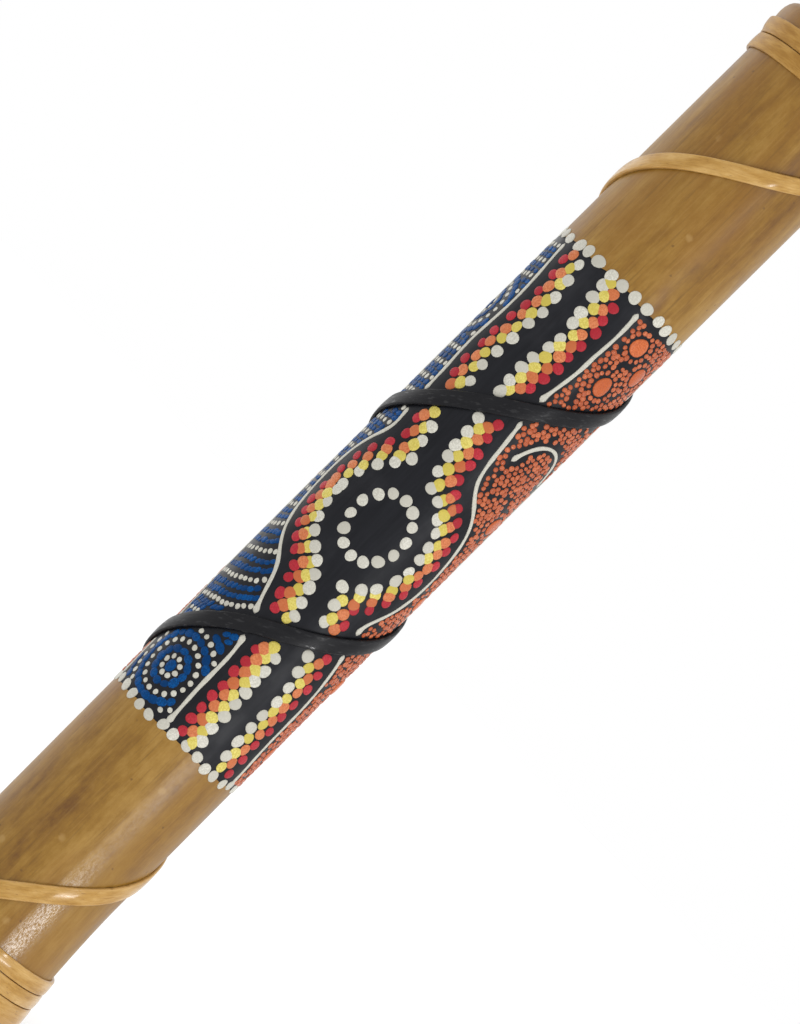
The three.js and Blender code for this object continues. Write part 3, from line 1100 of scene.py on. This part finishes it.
def line_points(path):
    """Cross sections of a bead of paint along a path, uneven in width, with a blob at each end."""
    across = np.linspace(-1, 1, 9)
    rise = np.sqrt(1 - across ** 2) ** 0.8
    ahead = np.gradient(path, axis=0)
    ahead /= np.linalg.norm(ahead, axis=1)[:, None]
    steps = np.arange(len(path)) * LINE_STEP
    to_end = np.minimum(steps, steps[-1] - steps)
    half = LINE_WIDTH / 2 * (1 + 0.1 * np.sin(steps / 3.1 + len(path)) + 0.07 * np.sin(steps / 1.3))
    half *= 1 + 0.45 * np.exp(-((to_end - 1.4) / 1.2) ** 2)
    half *= np.sqrt(np.clip(to_end, 0.03, 1))
    x = path[:, 0, None] + across * (half * ahead[:, 1])[:, None]
    z = path[:, 1, None] - across * (half * ahead[:, 0])[:, None]
    lift = LINE_LIFT * np.minimum(1, half / 0.6)[:, None] * rise
    return wrap(x / GIRTH, culm_radius(x / GIRTH, z) + COAT - 0.03 + lift, z)


def build_lines(paint):
    """The cream contour lines."""
    points = []
    faces = []
    for shift in (0, GIRTH / 2):
        for places in (upright(LEFT_LINE), upright(RIGHT_LINE), upright(DIVIDER), ARCH):
            for path in line_stretches(places, shift):
                sections = line_points(path)
                start = sum(len(section) for section in points)
                for face in tube_faces(*sections.shape[:2]):
                    faces.append(tuple(start + i for i in face))
                points.append(sections.reshape(-1, 3))
    lines = add_mesh("contour_lines", np.concatenate(points), faces, paint)
    set_point_values(lines, "tone", "FLOAT", [0.5] * len(lines.data.vertices))
    settle(lines, "body", "dot_paint")


def build_ground_coat():
    """The black coat under the pattern: a thin raised skin with an uneven brushed edge."""
    turns = np.arange(CULM_AROUND) / CULM_AROUND
    angle = TAU * turns
    ragged = 0.25 * np.sin(7 * angle) + 0.15 * np.sin(17 * angle + 1) + 0.12 * np.sin(31 * angle + 2)
    rows = round((BAND_HIGH - BAND_LOW) / CULM_ROW)
    rings = []
    for i in range(rows + 1):
        part = i / rows
        height = BAND_LOW + (BAND_HIGH - BAND_LOW) * part
        height = height + ragged * max(0, 1 - 20 * part) + np.roll(ragged, 60) * max(0, 20 * part - 19)
        raised = COAT if 0 < i < rows else -0.02
        rings.append(wrap(turns, culm_radius(turns, height) + raised, height))
    for height in (BAND_HIGH - 1.5, BAND_LOW + 1.5):
        rings.append(wrap(turns, CULM_RADIUS - 0.8, height))
    faces = loop_faces(len(rings), CULM_AROUND, close_rows=True)
    coat = add_mesh("ground_coat", rings, faces, ground_paint())
    settle(coat, "body", "ground_paint")


# each dot paint's darker and lighter tone, and where it isn't the usual one its sheen and smoothness
PAINTS = {
    "cream": (srgb(182, 179, 167), srgb(214, 212, 200)),
    "yellow": (srgb(190, 172, 72), srgb(222, 209, 116)),
    "orange": (srgb(182, 96, 52), srgb(214, 132, 86)),
    "red": (srgb(158, 32, 44), srgb(188, 50, 62), 0.18),
    "blue": (srgb(0, 50, 98), srgb(6, 82, 148), 0.08),
    "rust": (srgb(164, 74, 34), srgb(204, 112, 68), 0.4, 0.16),
    "amber": (srgb(176, 80, 32), srgb(208, 108, 54), 0.35, 0.2),
}
BIG_DOT_PAINTS = ("cream", "yellow", "orange", "red", "blue")


def build_pattern():
    paints = {name: dot_paint(f"{name}_paint", *look) for name, look in PAINTS.items()}
    big = [Dots(f"dots_{name}", paints[name], 16, BIG_RINGS) for name in BIG_DOT_PAINTS]
    *ribbons, blue = big
    cream = ribbons[0]
    dashes = Dots("dashes_blue", paints["blue"], 10, SMALL_RINGS)
    specks = Dots("specks_cream", paints["cream"], 10, SMALL_RINGS)
    stipple = Dots("stipple_orange", paints["rust"], 9, SMALL_RINGS, 0.2)
    eggs = Dots("ovals_orange", paints["amber"], 20, BIG_RINGS, 0.15)
    paint_borders(cream)
    for shift in (0, GIRTH / 2):
        paint_ring(cream, shift)
        paint_ribbons(ribbons, shift)
        paint_blue_field(specks, dashes, blue, shift)
        paint_orange_field(stipple, eggs, shift)
    for dots in (*big, eggs, dashes, specks, stipple):
        dots.build()
    build_lines(paints["cream"])


# ==== stage ====

STICK_TILT = math.radians(44.87)
SENSOR = 36
FLOOR_SIDES = 64
# in metres
CAMERA_DISTANCE = 1.5
VIEW_LENGTH = 0.3197
CAMERA_HEIGHT = 0.2002
CAMERA_SIDE = 0.0001
# in millimetres
FLOOR_RADIUS = 9000
FLOOR_HEIGHT = -0.02


def build_camera():
    """Looks level along +Y, rolled so that the stick runs from the lower left to the upper right."""
    data = bpy.data.cameras.new("camera")
    data.sensor_width = SENSOR
    data.lens = SENSOR * CAMERA_DISTANCE / VIEW_LENGTH
    camera = bpy.data.objects.new("camera", data)
    right = Vector((math.sin(STICK_TILT), 0, math.cos(STICK_TILT)))
    up = Vector((-math.cos(STICK_TILT), 0, math.sin(STICK_TILT)))
    back = Vector((0, -1, 0))
    place = Matrix.Translation((CAMERA_SIDE, -CAMERA_DISTANCE, CAMERA_HEIGHT))
    camera.matrix_world = place @ Matrix((right, up, back)).transposed().to_4x4()
    show(camera)
    bpy.context.scene.camera = camera


def build_floor():
    material = bpy.data.materials.new("pale_floor")
    material.use_nodes = True
    surface = material.node_tree.nodes["Principled BSDF"]
    surface.inputs["Base Color"].default_value = (0.9, 0.9, 0.9, 1)
    surface.inputs["Roughness"].default_value = 0.9
    surface.inputs["Emission Color"].default_value = (1, 1, 1, 1)
    surface.inputs["Emission Strength"].default_value = 0.14
    around = [TAU * i / FLOOR_SIDES for i in range(FLOOR_SIDES)]
    rim = [(FLOOR_RADIUS * math.cos(a), FLOOR_RADIUS * math.sin(a), FLOOR_HEIGHT) for a in around]
    floor = add_mesh("floor", rim, [tuple(range(FLOOR_SIDES))], material)


def add_light(name, turn, distance, height, size, power):
    """A soft lamp at a turn about the stick, facing it; distance, height and size in metres."""
    data = bpy.data.lights.new(name, "AREA")
    data.shape = "RECTANGLE"
    data.size, data.size_y = size
    data.energy = power
    lamp = bpy.data.objects.new(name, data)
    angle = TAU * turn
    lamp.location = (distance * math.sin(angle), -distance * math.cos(angle), height)
    aim = Vector((0, 0, height)) - lamp.location
    lamp.rotation_euler = aim.to_track_quat("-Z", "Y").to_euler()
    lamp.visible_camera = False
    show(lamp)


def build_light():
    world = bpy.data.worlds.new("studio")
    world.use_nodes = True
    background = world.node_tree.nodes["Background"]
    background.inputs["Color"].default_value = (1, 1, 1, 1)
    background.inputs["Strength"].default_value = 1.0
    bpy.context.scene.world = world
    add_light("low_strip", 51 / 360, 0.6, 0.029, (0.24, 0.022), 0.5)
    add_light("left_softbox", -125 / 360, 1.5, 0.25, (1.2, 1.2), 3)
    add_light("sheen_softbox", 50 / 360, 1.2, 0.085, (0.3, 0.12), 0.25)
    add_light("side_softbox", 48 / 360, 1.2, 0.3, (0.07, 0.10), 1.2)
    bpy.context.scene.view_settings.view_transform = "Standard"


build_camera()
build_floor()
build_light()
build_culm()
build_plugs()
build_pegs()
build_pebbles()
build_strip()
build_brads()
build_ground_coat()
build_pattern()

bpy.context.view_layer.update()
